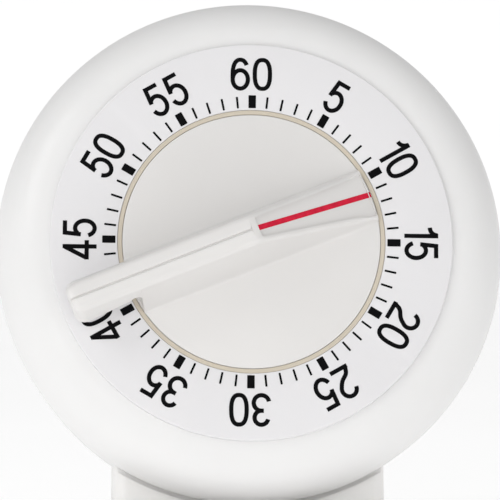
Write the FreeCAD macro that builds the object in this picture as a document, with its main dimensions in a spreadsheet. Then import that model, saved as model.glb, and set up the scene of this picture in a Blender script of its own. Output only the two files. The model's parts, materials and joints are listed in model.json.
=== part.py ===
"""A mechanical 60-minute lab timer: a round head with a knob, standing on a pedestal.

Two frames are used. The stand is drawn in the part's own frame: origin on the table under the
middle of the base plate, +Z up, face towards -Y. The head is drawn in the dial's frame, which
leans back: x to the right, y up the dial, z out of the dial, z = 0 on the dial's front face.
"""
import FreeCAD, Part
import math
import os
import re

import Sketcher
from FreeCAD import Placement, Rotation, Vector

DIMENSIONS = (
    ("face_lean", 11, "backward lean of the dial, degrees"),
    ("face_ahead", 20, "dial centre in front of the base centre"),
    ("face_lift", 59.5, "dial centre above the table"),
    ("wall", 2.2, "wall of the plastic mouldings"),
    ("head_rad", 51.1, "largest radius of the head"),
    ("dome_rad", 10.89, "radius of the front casing's rounded rim"),
    ("dome_deep", 12, "depth of the head's widest circle"),
    ("face_rad", 41.6, "radius where the rounded rim begins"),
    ("joint_deep", 18, "depth of the joint between casing and rear cover"),
    ("cover_deep", 38.5, "depth of the rear cover's back"),
    ("cover_rad", 48.7, "radius of the rear cover at its back corner"),
    ("cover_round", 5.5, "radius of the rear cover's back corner"),
    ("slot_wide", 2.4, "width of a sound slot in the rear cover"),
    ("slot_round", 1.3, "radius of a sound slot's ends"),
    ("slot_low", 7, "reach of the sound slots below the dial's centre"),
    ("slot_high", 15, "reach of the sound slots above the dial's centre"),
    ("slot_row", 30, "distance from the first sound slot to the last"),
    ("neck_x", 14, "distance of a neck screw from the middle plane"),
    ("neck_y", 28, "distance of the neck screws below the dial's centre"),
    ("dial_rad", 40.4, "outer radius of the dial plate"),
    ("dial_hole", 26.9, "radius of the dial plate's hole"),
    ("dial_thick", 1.2, "thickness of the dial plate"),
    ("well_rad", 27.6, "radius of the well behind the knob"),
    ("well_deep", 3.6, "depth of the well's floor"),
    ("well_floor", 1.8, "thickness of the well's floor"),
    ("shaft_hole", 5.6, "radius of the well's hole for the knob hub"),
    ("seat_rad", 26.8, "outer radius of the glide ring's upstand"),
    ("seat_bore", 25.95, "inner radius of the glide ring's upstand"),
    ("seat_foot", 24.2, "inner radius of the glide ring's foot"),
    ("seat_top", 0.15, "depth of the glide ring's top"),
    ("disc_rad", 25.85, "radius of the knob's disc"),
    ("disc_thick", 2.5, "thickness of the knob's disc"),
    ("grip_high", 13, "height of the knob's grip above the dial"),
    ("grip_top", 3.2, "half width of the grip at its top"),
    ("grip_foot", 5.7, "half width of the grip at its foot"),
    ("tail_reach", 39, "reach of the grip's tail from the axis"),
    ("tail_rise", 8.8, "height of the tail's underside at the disc's edge"),
    ("tail_drop", 5.4, "height of the tail's underside at its end"),
    ("tail_round", 2.4, "corner radius of the tail's end"),
    ("ramp_low", 0.9, "height of the ramp at the disc's edge"),
    ("panel_deep", 0.6, "depth of the ramp's sunk panel"),
    ("rim_wide", 0.9, "width of the rims beside the sunk panel"),
    ("line_wide", 1.1, "width of the red pointer line"),
    ("line_thick", 0.12, "thickness of the red pointer line"),
    ("crease", 0.45, "width and depth of the tail's centre groove"),
    ("set_angle", 68.5, "pointer's angle clockwise from the top, degrees"),
    ("hub_rad", 4.8, "radius of the knob's hub"),
    ("hub_deep", 6.6, "depth of the knob hub's end"),
    ("shaft_rad", 2.2, "radius of the main arbor"),
    ("shaft_flat", 1.5, "distance of the main arbor's flat from its axis"),
    ("fit_gap", 0.05, "running clearance on the radius"),
    ("stop_rad", 22.5, "radius of the travel stop"),
    ("stop_pin_rad", 0.6, "radius of the stop pin"),
    ("stop_rib", 0.7, "width of the knob's stop rib"),
    ("screw_ring", 38.6, "radius of the circle of casing screws"),
    ("screw_rad", 1.2, "radius of a screw's shank"),
    ("screw_head", 2.7, "radius of a screw's head"),
    ("boss_rad", 3.4, "radius of a screw boss"),
    ("plate_rad", 34, "radius of the movement plates"),
    ("plate_thick", 1, "thickness of the movement plates"),
    ("plate_deep", 8, "depth of the front movement plate"),
    ("frame_deep", 23, "depth of the back movement plate's rear face"),
    ("arbor_rad", 0.8, "radius of the train arbors"),
    ("pivot_rad", 0.45, "radius of the train pivots"),
    ("pillar_ring", 31.5, "radius of the circle of pillars"),
    ("pillar_rad", 1.8, "radius of a movement pillar"),
    ("spring_wide", 4, "width of the mainspring strip"),
    ("spring_thick", 0.35, "thickness of the mainspring strip"),
    ("spring_pitch", 1.6, "distance between the mainspring's turns"),
    ("spring_rad", 3.4, "radius of the mainspring's inner turn"),
    ("gong_rad", 21, "radius of the gong"),
    ("gong_wall", 1, "wall of the gong"),
    ("gong_x", -5, "gong centre, across the dial"),
    ("gong_y", 12, "gong centre, up the dial"),
    ("gong_mouth", 25.2, "depth of the gong's mouth"),
    ("gong_back", 33, "depth of the gong's back"),
    ("stand_wide", 54.5, "width of the pedestal"),
    ("stand_round", 2.4, "radius of the pedestal's upright corners"),
    ("stand_front", 12.8, "pedestal's foot in front of the base centre"),
    ("stand_back", 32, "pedestal's foot behind the base centre"),
    ("neck_high", 38, "height of the pedestal's neck"),
    ("neck_back", 20, "rear of the neck behind the base centre"),
    ("base_wide", 62, "width of the base plate"),
    ("base_front", 27, "base plate in front of the base centre"),
    ("base_back", 36, "base plate behind the base centre"),
    ("base_round", 8, "corner radius of the base plate"),
    ("base_thick", 3, "thickness of the base plate"),
    ("foot_high", 1.6, "height of the base plate above the table"),
    ("foot_rad", 4.5, "radius of a rubber foot"),
    ("foot_sink", 0.6, "depth of a foot's recess in the base plate"),
)

doc = FreeCAD.newDocument("lab_timer")
sheet = doc.addObject("Spreadsheet::Sheet", "dims")
for row, (alias, value, note) in enumerate(DIMENSIONS, start=1):
    sheet.set(f"A{row}", note)
    sheet.set(f"B{row}", str(value))
    sheet.setAlias(f"B{row}", alias)
doc.recompute()

nodes = []


# ---------------------------------------------------------------- expressions and frames

def bound(expression):
    """The expression with every sheet alias written out for setExpression."""
    return re.sub(r"\b[a-z_][a-z0-9_]*\b(?!\s*\()", r"dims.\g<0>", expression)


def dim(expression):
    """The value of an expression of sheet aliases."""
    return float(sheet.evalExpression(bound(expression)))


def head_place(x="0", y="0", turn=0.0):
    """Placement of a piece of the head, moved in the dial's plane and turned about its axis."""
    origin = Vector(0, -dim("face_ahead"), dim("face_lift"))
    lean = Rotation(Vector(1, 0, 0), 90 - dim("face_lean"))
    local = Placement(Vector(dim(x), dim(y), 0), Rotation(Vector(0, 0, 1), turn))
    return Placement(origin, lean).multiply(local)


def ring_spot(radius, angle):
    """Expressions for the point at this radius and angle in the dial's plane."""
    return f"({radius}) * cos({angle})", f"({radius}) * sin({angle})"


# ---------------------------------------------------------------- sketches and features

def new_body(name, placement=None):
    body = doc.addObject("PartDesign::Body", name)
    if placement is not None:
        body.Placement = placement
    return body


def origin_plane(body, role):
    return next(item for item in body.Origin.OriginFeatures if item.Role == role)


def new_sketch(body, plane, height):
    """A sketch on one of the body's origin planes, lifted along the plane's normal."""
    sketch = body.newObject("Sketcher::SketchObject", body.Name + "_sketch")
    sketch.AttachmentSupport = [(origin_plane(body, plane), "")]
    sketch.MapMode = "FlatFace"
    sketch.setExpression("AttachmentOffset.Base.z", bound(height))
    return sketch


def pin_point(sketch, geometry, point, x, y):
    """Tie one point of the sketch to the sheet, or to an axis where its place is zero."""
    for kind, axis, expression in (("DistanceX", -2, x), ("DistanceY", -1, y)):
        if expression == "0":
            sketch.addConstraint(Sketcher.Constraint("PointOnObject", geometry, point, axis))
            continue
        rule = Sketcher.Constraint(kind, -1, 1, geometry, point, dim(expression))
        number = sketch.addConstraint(rule)
        sketch.setExpression(f"Constraints[{number}]", bound(expression))


def draw_side(sketch, start, end, radius):
    """Add a straight side, or an arc: it bulges right of its way if the radius is positive.

    Returns the point numbers of the side's start and end.
    """
    if radius is None:
        sketch.addGeometry(Part.LineSegment(start, end), False)
        return 1, 2
    size = dim(radius)
    chord = end - start
    right = Vector(chord.y, -chord.x, 0).normalize() * math.copysign(1, size)
    sag = abs(size) - math.sqrt(size ** 2 - chord.Length ** 2 / 4)
    sketch.addGeometry(Part.Arc(start, (start + end) / 2 + right * sag, end), False)
    return (1, 2) if size > 0 else (2, 1)


def outline(body, plane, corners, height="0"):
    """A closed outline of corners (x, y), or (x, y, radius) where an arc leaves the corner."""
    sketch = new_sketch(body, plane, height)
    spots = [Vector(dim(corner[0]), dim(corner[1]), 0) for corner in corners]
    ends = []
    for number, corner in enumerate(corners):
        radius = corner[2] if len(corner) > 2 else None
        after = spots[(number + 1) % len(corners)]
        ends.append(draw_side(sketch, spots[number], after, radius))
    for number, corner in enumerate(corners):
        after = (number + 1) % len(corners)
        meet = Sketcher.Constraint("Coincident", number, ends[number][1], after, ends[after][0])
        sketch.addConstraint(meet)
    for number, corner in enumerate(corners):
        pin_point(sketch, number, ends[number][0], corner[0], corner[1])
        if len(corner) > 2:
            rule = Sketcher.Constraint("Radius", number, abs(dim(corner[2])))
            turn = sketch.addConstraint(rule)
            sketch.setExpression(f"Constraints[{turn}]", bound(f"abs({corner[2]})"))
    return sketch


def circles(body, plane, rounds, height="0"):
    """A sketch of circles (x, y, radius)."""
    sketch = new_sketch(body, plane, height)
    for number, (x, y, radius) in enumerate(rounds):
        centre = Vector(dim(x), dim(y), 0)
        circle = Part.Circle(centre, Vector(0, 0, 1), dim(radius))
        sketch.addGeometry(circle, False)
        pin_point(sketch, number, 3, x, y)
        size = sketch.addConstraint(Sketcher.Constraint("Radius", number, dim(radius)))
        sketch.setExpression(f"Constraints[{size}]", bound(radius))
    return sketch


def pad(body, sketch, length, both_ways=False):
    feature = body.newObject("PartDesign::Pad", body.Name + "_pad")
    feature.Profile = sketch
    feature.setExpression("Length", bound(length))
    if both_ways:
        feature.SideType = "Symmetric"
    doc.recompute()
    return feature


def pocket(body, sketch, length, both_ways=False):
    """Cut along the sketch's back side; a cut that takes nothing away is an error."""
    before = body.Shape.Volume
    feature = body.newObject("PartDesign::Pocket", body.Name + "_pocket")
    feature.Profile = sketch
    feature.setExpression("Length", bound(length))
    if both_ways:
        feature.SideType = "Symmetric"
    doc.recompute()
    if body.Shape.Volume >= before - 1e-6:
        raise RuntimeError(f"{feature.Name} cuts nothing")
    return feature


def ring_pattern(body, feature, count):
    """Repeat a feature round the body's own axis."""
    pattern = body.newObject("PartDesign::PolarPattern", body.Name + "_ring")
    pattern.Originals = [feature]
    pattern.Axis = (origin_plane(body, "Z_Axis"), [""])
    pattern.Angle = 360
    pattern.Occurrences = count
    body.Tip = pattern
    doc.recompute()
    return pattern


def row_pattern(body, feature, count, length):
    """Repeat a feature along the body's own x axis, over the given length."""
    pattern = body.newObject("PartDesign::LinearPattern", body.Name + "_row")
    pattern.Originals = [feature]
    pattern.Direction = (origin_plane(body, "X_Axis"), [""])
    pattern.Length = length
    pattern.Occurrences = count
    body.Tip = pattern
    doc.recompute()
    return pattern


def revolve(body, corners):
    """A turned shape: the corners are (radius, z) and the axis is the body's own z."""
    feature = body.newObject("PartDesign::Revolution", body.Name + "_turned")
    feature.Profile = outline(body, "XZ_Plane", corners)
    feature.ReferenceAxis = (feature.Profile[0], ["V_Axis"])
    feature.Angle = 360
    doc.recompute()
    return feature


def turned(name, corners, placement):
    body = new_body(name, placement)
    revolve(body, corners)
    return body


def prism(name, plane, corners, length, height="0", both_ways=False, placement=None):
    body = new_body(name, placement)
    pad(body, outline(body, plane, corners, height), length, both_ways)
    return body


def boolean(kind, name, *pieces):
    """A Part boolean: Cut takes the second piece from the first, the others take any number."""
    result = doc.addObject("Part::" + kind, name)
    if kind == "Cut":
        result.Base = pieces[0]
        result.Tool = pieces[1]
    else:
        result.Shapes = list(pieces)
    doc.recompute()
    return result


def node(name, shape, placement=None):
    """Give a finished sub-part its label and list it for writing."""
    if placement is not None:
        shape.Placement = placement
    shape.Label = name
    nodes.append(shape)
    return shape


def group(name, pieces):
    """Identical fasteners or feet as one sub-part of separate solids."""
    cluster = doc.addObject("Part::Compound", name + "_group")
    cluster.Links = pieces
    doc.recompute()
    return node(name, cluster)


def rod(radius, top, bottom):
    """Corners of a plain turned rod between two depths."""
    return (("0", bottom), (radius, bottom), (radius, top), ("0", top))


def tube(bore, radius, top, bottom):
    """Corners of a plain turned tube between two depths."""
    return ((bore, bottom), (radius, bottom), (radius, top), (bore, top))


def screw(name, top, seat, head, placement):
    """A pan-head screw pointing to +z: its tip, the seat of its head, the head's height."""
    corners = (
        ("0", f"{seat} - {head}"),
        ("screw_head - 0.6", f"{seat} - {head}"),
        ("screw_head", f"{seat} - {head} + 0.6"),
        ("screw_head", seat),
        ("screw_rad", seat),
        ("screw_rad", f"{top} - 0.8"),
        ("0.3", top),
        ("0", top),
    )
    return turned(name, corners, placement)


def d_rod(name, radius, flat, top, bottom):
    """A rod with a flat on its +x side."""
    round_rod = turned(name + "_round", rod(radius, top, bottom), None)
    keep = prism(name + "_keep", "XY_Plane", (
        (f"-2 * ({radius})", f"-2 * ({radius})"),
        (flat, f"-2 * ({radius})"),
        (flat, f"2 * ({radius})"),
        (f"-2 * ({radius})", f"2 * ({radius})"),
    ), f"{top} - ({bottom}) + 2", f"{bottom} - 1")
    return boolean("MultiCommon", name, round_rod, keep)


# ---------------------------------------------------------------- the head's shell

NECK_SCREWS = (("neck_x", "-neck_y"), ("-neck_x", "-neck_y"))


def front_casing():
    """The front moulding: face, rounded rim, the well behind the knob, and screw bosses."""
    body = new_body("front_casing", head_place())
    revolve(body, (
        ("shaft_hole", "-well_deep - well_floor"),
        ("well_rad + wall", "-well_deep - well_floor"),
        ("well_rad + wall", "-dial_thick - wall"),
        ("face_rad - 0.75", "-dial_thick - wall", "-(dome_rad - wall)"),
        ("head_rad - wall", "-dome_deep"),
        ("head_rad - wall - 0.7", "-joint_deep"),
        ("head_rad - 0.8", "-joint_deep"),
        ("head_rad", "-dome_deep", "dome_rad"),
        ("face_rad", "-dial_thick"),
        ("well_rad", "-dial_thick"),
        ("well_rad", "-well_deep"),
        ("shaft_hole", "-well_deep"),
    ))
    for spot, depth, count in ((ring_spot("screw_ring", "45"), "joint_deep - 0.05", 4),
                               (ring_spot("screw_ring", "90"), "plate_deep", 3)):
        x, y = spot
        boss = pad(body, circles(body, "XY_Plane", ((x, y, "boss_rad"),), f"-({depth})"),
                   f"{depth} - 2.9")
        ring_pattern(body, boss, count)
        hole = pocket(body, circles(body, "XY_Plane", ((x, y, "screw_rad + 0.05"),), "-4.2"),
                      "joint_deep")
        ring_pattern(body, hole, count)
    return node("front_casing", body)


def rear_cover():
    """The rear moulding: a drum with a slotted back, screw tubes and bosses for the neck."""
    body = new_body("rear_cover", head_place())
    flat_rad = "cover_rad - cover_round"
    revolve(body, (
        ("0", "-cover_deep"),
        (flat_rad, "-cover_deep", "cover_round"),
        ("cover_rad", "-cover_deep + cover_round"),
        ("head_rad - 1", "-joint_deep"),
        ("head_rad - 1 - wall", "-joint_deep"),
        ("cover_rad - wall", "-cover_deep + cover_round", "-(cover_round - wall)"),
        (flat_rad, "-cover_deep + wall"),
        ("0", "-cover_deep + wall"),
    ))
    x, y = ring_spot("screw_ring", "45")
    pillar = pad(body, circles(body, "XY_Plane", ((x, y, "boss_rad + 0.4"),), "-cover_deep + 0.5"),
                 "cover_deep - joint_deep - 0.5")
    ring_pattern(body, pillar, 4)
    shank = pocket(body, circles(body, "XY_Plane", ((x, y, "screw_rad + 0.3"),), "-joint_deep + 1"),
                   "cover_deep")
    ring_pattern(body, shank, 4)
    sink = pocket(body, circles(body, "XY_Plane", ((x, y, "screw_head + 0.3"),), "-cover_deep + 3"),
                  "4")
    ring_pattern(body, sink, 4)
    bosses = [(x, y, "boss_rad") for x, y in NECK_SCREWS]
    pad(body, circles(body, "XY_Plane", bosses, "-cover_deep + 1"), "7.5")
    holes = [(x, y, "screw_rad + 0.05") for x, y in NECK_SCREWS]
    pocket(body, circles(body, "XY_Plane", holes, "-cover_deep + 7"), "9")
    near, far = "-(slot_row + slot_wide) / 2", "(slot_wide - slot_row) / 2"
    slot = pocket(body, outline(body, "XY_Plane", (
        (near, "-slot_low", "slot_round"),
        (far, "-slot_low"),
        (far, "slot_high", "slot_round"),
        (near, "slot_high"),
    ), "-cover_deep + wall + 0.1"), "4")
    row_pattern(body, slot, 7, dim("slot_row"))
    return node("rear_cover", body)


def dial_and_ring():
    """The printed dial plate and the glide ring that shows between it and the knob."""
    node("dial_plate", turned("dial_plate", (
        ("dial_hole", "-dial_thick"),
        ("dial_rad", "-dial_thick"),
        ("dial_rad", "-0.25"),
        ("dial_rad - 0.25", "0"),
        ("dial_hole + 0.15", "0"),
        ("dial_hole", "-0.15"),
    ), head_place()))
    node("knob_seat_ring", turned("knob_seat_ring", (
        ("seat_foot", "-well_deep"),
        ("seat_rad", "-well_deep"),
        ("seat_rad", "-seat_top"),
        ("seat_bore", "-seat_top"),
        ("seat_bore", "-well_deep + 0.6"),
        ("seat_foot", "-well_deep + 0.6"),
    ), head_place()))


def casing_screws():
    spots = [ring_spot("screw_ring", str(45 + 90 * number)) for number in range(4)]
    group("casing_screws", [
        screw(f"casing_screw_{number}", "-9", "-cover_deep + 3", "1.9", head_place(x, y))
        for number, (x, y) in enumerate(spots)
    ])


# ---------------------------------------------------------------- the knob

RAMP = "(grip_high - ramp_low) / disc_rad"
KNOB_PLACE = head_place(turn=90 - dim("set_angle"))


def knob():
    """The knob: a disc, a hub on the arbor, and a grip with a long tail and a sloping ramp.

    It is drawn with the pointer along +x and turned to its setting by its placement.
    """
    disc = new_body("knob_disc")
    revolve(disc, (
        ("0", "-hub_deep"),
        ("hub_rad", "-hub_deep"),
        ("hub_rad", "-hub_deep + 0.3"),
        ("hub_rad - 0.6", "-hub_deep + 0.3"),
        ("hub_rad - 0.6", "-hub_deep + 0.9"),
        ("hub_rad", "-hub_deep + 0.9"),
        ("hub_rad", "-disc_thick"),
        ("disc_rad", "-disc_thick"),
        ("disc_rad", "-0.3"),
        ("disc_rad - 0.3", "0"),
        ("0", "0"),
    ))
    rib = (("stop_rad - 1.5", "-stop_rib / 2"), ("stop_rad + 1.5", "-stop_rib / 2"),
           ("stop_rad + 1.5", "stop_rib / 2"), ("stop_rad - 1.5", "stop_rib / 2"))
    pad(disc, outline(disc, "XY_Plane", rib, "-disc_thick - 0.75"), "0.95")
    side = prism("grip_side", "XZ_Plane", (
        ("-disc_rad + 0.5", "-0.6"),
        ("disc_rad", "-0.6"),
        ("disc_rad", "ramp_low"),
        ("0", "grip_high"),
        ("-tail_reach", "grip_high"),
        ("-tail_reach", "tail_drop"),
        ("-disc_rad + 0.5", "tail_rise"),
    ), "4 * grip_foot", both_ways=True)
    section = prism("grip_section", "YZ_Plane", (
        ("-grip_foot", "-0.6"),
        ("grip_foot", "-0.6"),
        ("grip_top", "grip_high"),
        ("-grip_top", "grip_high"),
    ), "4 * tail_reach", both_ways=True)
    edge_x = "sqrt(disc_rad ^ 2 - (grip_foot + 1) ^ 2)"
    plan = prism("grip_plan", "XY_Plane", (
        ("-tail_reach + tail_round", "-grip_top - 1.2"),
        ("-tail_reach + tail_round", "-grip_foot - 1"),
        (edge_x, "-grip_foot - 1", "disc_rad"),
        (edge_x, "grip_foot + 1"),
        ("-tail_reach + tail_round", "grip_foot + 1"),
        ("-tail_reach + tail_round", "grip_top + 1.2", "tail_round"),
        ("-tail_reach", "grip_top + 1.2 - tail_round"),
        ("-tail_reach", "-grip_top - 1.2 + tail_round", "tail_round"),
    ), "2 * grip_high", "-1")
    grip = boolean("MultiCommon", "grip", side, section, plan)
    panel_floor = f"grip_high - panel_deep - ({RAMP}) * 0.9"
    panel_side = prism("panel_side", "XZ_Plane", (
        ("0.9", panel_floor),
        ("disc_rad + 1", f"grip_high - panel_deep - ({RAMP}) * (disc_rad + 1)"),
        ("disc_rad + 1", "grip_high"),
        ("0.9", "grip_high"),
    ), "4 * grip_foot", both_ways=True)
    near = "grip_top - rim_wide"
    far = "grip_foot - rim_wide"
    panel_plan = prism("panel_plan", "XY_Plane", (
        ("1.9", f"-({near})"),
        ("disc_rad + 1", f"-({far})"),
        ("disc_rad + 1", far),
        ("1.9", near, "1"),
        ("0.9", f"{near} - 1"),
        ("0.9", f"1 - ({near})", "1"),
    ), "2 * grip_high", "-1")
    panel = boolean("MultiCommon", "panel", panel_side, panel_plan)
    groove = prism("tail_groove", "XY_Plane", (
        ("-tail_reach - 1", "-crease / 2"),
        ("-0.4", "-crease / 2"),
        ("-0.4", "crease / 2"),
        ("-tail_reach - 1", "crease / 2"),
    ), "2", "grip_high - crease")
    bore = d_rod("knob_bore", "shaft_rad + fit_gap", "shaft_flat + fit_gap", "5.3",
                 "-hub_deep - 1")
    solid = boolean("MultiFuse", "knob_solid", disc, grip)
    tools = boolean("MultiFuse", "knob_tools", panel, groove, bore)
    node("knob", boolean("Cut", "knob", solid, tools), KNOB_PLACE)


def pointer_line():
    """The red line that is laid on the floor of the ramp's panel."""
    floor_high = f"grip_high - panel_deep + 0.01 - ({RAMP})"
    start, stop = "1.3", "disc_rad - 0.1"
    line = prism("pointer_line", "XZ_Plane", (
        (start, f"{floor_high} * {start}"),
        (stop, f"{floor_high} * ({stop})"),
        (stop, f"{floor_high} * ({stop}) + line_thick"),
        (start, f"{floor_high} * {start} + line_thick"),
    ), "line_wide", both_ways=True)
    node("pointer_line", line, KNOB_PLACE)


def knob_clip():
    """The spring ring in the hub's groove, which keeps the knob in the casing."""
    ring = turned("clip_ring", tube("hub_rad - 0.55", "hub_rad + 1.6", "-hub_deep + 0.85",
                                    "-hub_deep + 0.35"), None)
    gap = prism("clip_gap", "XY_Plane", (("0", "-1.5"), ("2 * hub_rad", "-1.5"),
                                         ("2 * hub_rad", "1.5"), ("0", "1.5")),
                "2", "-hub_deep - 0.5")
    node("knob_clip", boolean("Cut", "knob_clip", ring, gap), KNOB_PLACE)


def stop_pin():
    """The pin in the well's floor that the knob's rib meets at both ends of its travel."""
    x, y = ring_spot("stop_rad", "92.5")
    node("stop_pin", turned("stop_pin", rod("stop_pin_rad", "-well_deep + 0.7", "-well_deep"),
                            head_place(x, y)))


# ---------------------------------------------------------------- the movement's frame

TRAIN = {
    "second": ("-15.86", "-7.4"),
    "third": ("-8.86", "-19.52"),
    "escape": ("2.32", "-23.59"),
    "pallet": ("11.8", "-23.6"),
}
PILLARS = [ring_spot("pillar_ring", angle) for angle in ("55", "145", "222", "345")]
HAMMER_POST = ("24", "-14")
HAMMER_HEAD = ("-6.1", "17.65")
PALLET_PINS = (("-3.05", "5.4"), ("-3.05", "-5.4"))


def movement_plate(name, front, lugs):
    """One plate of the movement, with its pivot holes and, on the front plate, three lugs."""
    body = new_body(name, head_place())
    bottom = f"-({front}) - plate_thick"
    pad(body, circles(body, "XY_Plane", (("0", "0", "plate_rad"),), bottom), "plate_thick")
    if lugs:
        x, y = ring_spot("screw_ring", "90")
        lug = pad(body, circles(body, "XY_Plane", ((x, y, "4.8"),), bottom), "plate_thick")
        ring_pattern(body, lug, 3)
        hole = pocket(body, circles(body, "XY_Plane", ((x, y, "screw_rad + 0.2"),),
                                    f"-({front}) + 1"), "4")
        ring_pattern(body, hole, 3)
    pivots = [(x, y, "pivot_rad + fit_gap") for x, y in TRAIN.values()]
    studs = [(x, y, "1.05") for x, y in PILLARS]
    holes = [("0", "0", "shaft_rad + fit_gap")] + pivots + studs
    pocket(body, circles(body, "XY_Plane", holes, f"-({front}) + 1"), "4")
    return node(name, body)


def movement_frame():
    movement_plate("movement_front_plate", "plate_deep", True)
    movement_plate("movement_back_plate", "frame_deep - plate_thick", False)
    front = "-plate_deep - plate_thick"
    back = "-frame_deep + plate_thick"
    group("movement_pillars", [turned(f"pillar_{number}", (
        ("0", "-frame_deep - 1.9"),
        ("1", "-frame_deep - 1.9"),
        ("1", back),
        ("pillar_rad", back),
        ("pillar_rad", front),
        ("1", front),
        ("1", "-plate_deep"),
        ("0", "-plate_deep"),
    ), head_place(x, y)) for number, (x, y) in enumerate(PILLARS)])
    group("pillar_nuts", [hex_nut(f"pillar_nut_{number}", "1.05", "2.2", "-frame_deep - 1.7",
                                  "1.7", head_place(x, y))
                          for number, (x, y) in enumerate(PILLARS)])
    spots = [ring_spot("screw_ring", str(90 + 120 * number)) for number in range(3)]
    group("movement_screws", [
        screw(f"movement_screw_{number}", "-5", front, "1.8", head_place(x, y))
        for number, (x, y) in enumerate(spots)
    ])


def hex_nut(name, bore, across, bottom, height, placement):
    """A hexagon nut; across is the radius of its corners."""
    body = new_body(name, placement)
    corners = [ring_spot(across, str(60 * number)) for number in range(6)]
    pad(body, outline(body, "XY_Plane", corners, bottom), height)
    pocket(body, circles(body, "XY_Plane", (("0", "0", bore),), f"{bottom} + {height} + 1"),
           f"{height} + 2")
    return body


# ---------------------------------------------------------------- the train

def polar(radius, angle, height):
    turn = math.radians(angle)
    return Vector(radius * math.cos(turn), radius * math.sin(turn), height)


def toothed(name, teeth, root, tip, share, tip_share, start, bottom, thickness, bore, placement):
    """A wheel with straight-sided teeth; share is the tooth's part of the pitch at its root."""
    step = 360 / teeth
    points = []
    for number in range(teeth):
        middle = start + number * step
        for radius, half in ((root, share), (tip, tip_share)):
            points.append(polar(radius, middle - half * step / 2, bottom))
        for radius, half in ((tip, tip_share), (root, share)):
            points.append(polar(radius, middle + half * step / 2, bottom))
    rim = Part.Face(Part.makePolygon(points + points[:1]))
    wheel = rim.extrude(Vector(0, 0, thickness))
    if bore:
        wheel = wheel.cut(Part.makeCylinder(bore, thickness + 2, Vector(0, 0, bottom - 1)))
    piece = doc.addObject("Part::Feature", name)
    piece.Shape = wheel
    if placement is not None:
        piece.Placement = placement
    return piece


def lightened(wheel, name, spokes, inner, outer, spoke_width):
    """Cut windows between the spokes of a wheel drawn about the origin."""
    ring = turned(name + "_ring", tube(inner, outer, "0", "-frame_deep"), None)
    bars = [prism(f"{name}_bar_{number}", "XZ_Plane", (
        ("0", "-frame_deep - 1"), (f"{outer} + 1", "-frame_deep - 1"),
        (f"{outer} + 1", "1"), ("0", "1")), spoke_width, both_ways=True,
        placement=Placement(Vector(), Rotation(Vector(0, 0, 1), number * 360 / spokes)))
        for number in range(spokes)]
    window = boolean("Cut", name + "_window", ring, boolean("MultiFuse", name + "_bars", *bars))
    return boolean("Cut", name, wheel, window)


def mesh_start(driver_start, driver_teeth, direction, driven_teeth):
    """Angle of one driven tooth, so that its gaps meet the driver's teeth along the direction."""
    past = (direction - driver_start) % (360 / driver_teeth)
    return direction + 180 + past * driver_teeth / driven_teeth + 180 / driven_teeth


def direction_between(first, second):
    across = [dim(second[axis]) - dim(first[axis]) for axis in (0, 1)]
    return math.degrees(math.atan2(across[1], across[0]))


WHEELS = (
    # wheel, pinion, teeth, leaves, module, wheel depth, wheel thickness, pinion bottom, top
    ("main", "second", 60, 10, 0.5, 15.4, 1.2, 16.6, 13.8),
    ("second", "third", 60, 10, 0.4, 17.6, 0.8, 19.0, 16.4),
    ("third", "escape", 60, 8, 0.35, 19.8, 0.7, 20.9, 18.4),
)


def train():
    """Three wheels, each driving a pinion on the next arbor, and the arbors themselves."""
    centres = dict(TRAIN, main=("0", "0"))
    for wheel, driven, teeth, leaves, module, deep, thick, low, high in WHEELS:
        place = head_place(*centres[wheel])
        pitch = teeth * module / 2
        bore = dim("shaft_rad") + 0.02 if wheel == "main" else dim("arbor_rad") + 0.02
        disc = toothed(wheel + "_blank", teeth, pitch - 1.1 * module, pitch + 0.75 * module,
                       0.62, 0.2, 0, -deep, thick, bore, None)
        spokes = 5 if wheel == "main" else 4
        hub = "shaft_rad + 2" if wheel == "main" else "arbor_rad + 1.6"
        rim = str(pitch - 1.1 * module - 1.6)
        node(wheel + "_wheel", lightened(disc, wheel + "_spoked", spokes, hub, rim, "1.6"), place)
        towards = direction_between(centres[wheel], centres[driven])
        start = mesh_start(0, teeth, towards, leaves)
        small = leaves * module / 2
        pinion = toothed(driven + "_leaves", leaves, small - 1.05 * module,
                         small + 0.55 * module, 0.66, 0.22, start, -low, low - high, None, None)
        shaft = turned(driven + "_shaft", arbor_corners(), None)
        node(driven + "_arbor", boolean("MultiFuse", driven + "_arbor", shaft, pinion),
             head_place(*centres[driven]))
    escape = toothed("escape_blank", 20, 5.4, 7, 0.5, 0.08, 0, -15.2, 0.6,
                     dim("arbor_rad") + 0.02, None)
    node("escape_wheel", lightened(escape, "escape_spoked", 3, "arbor_rad + 1.2", "4.2", "1.2"),
         head_place(*TRAIN["escape"]))


def arbor_corners():
    """A train arbor with a thinner pivot at each end."""
    front = "-plate_deep - plate_thick"
    back = "-frame_deep + plate_thick"
    return (
        ("0", f"{back} - 0.8"),
        ("pivot_rad", f"{back} - 0.8"),
        ("pivot_rad", f"{back} + 0.1"),
        ("arbor_rad", f"{back} + 0.1"),
        ("arbor_rad", f"{front} - 0.1"),
        ("pivot_rad", f"{front} - 0.1"),
        ("pivot_rad", f"{front} + 0.8"),
        ("0", f"{front} + 0.8"),
    )


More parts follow.
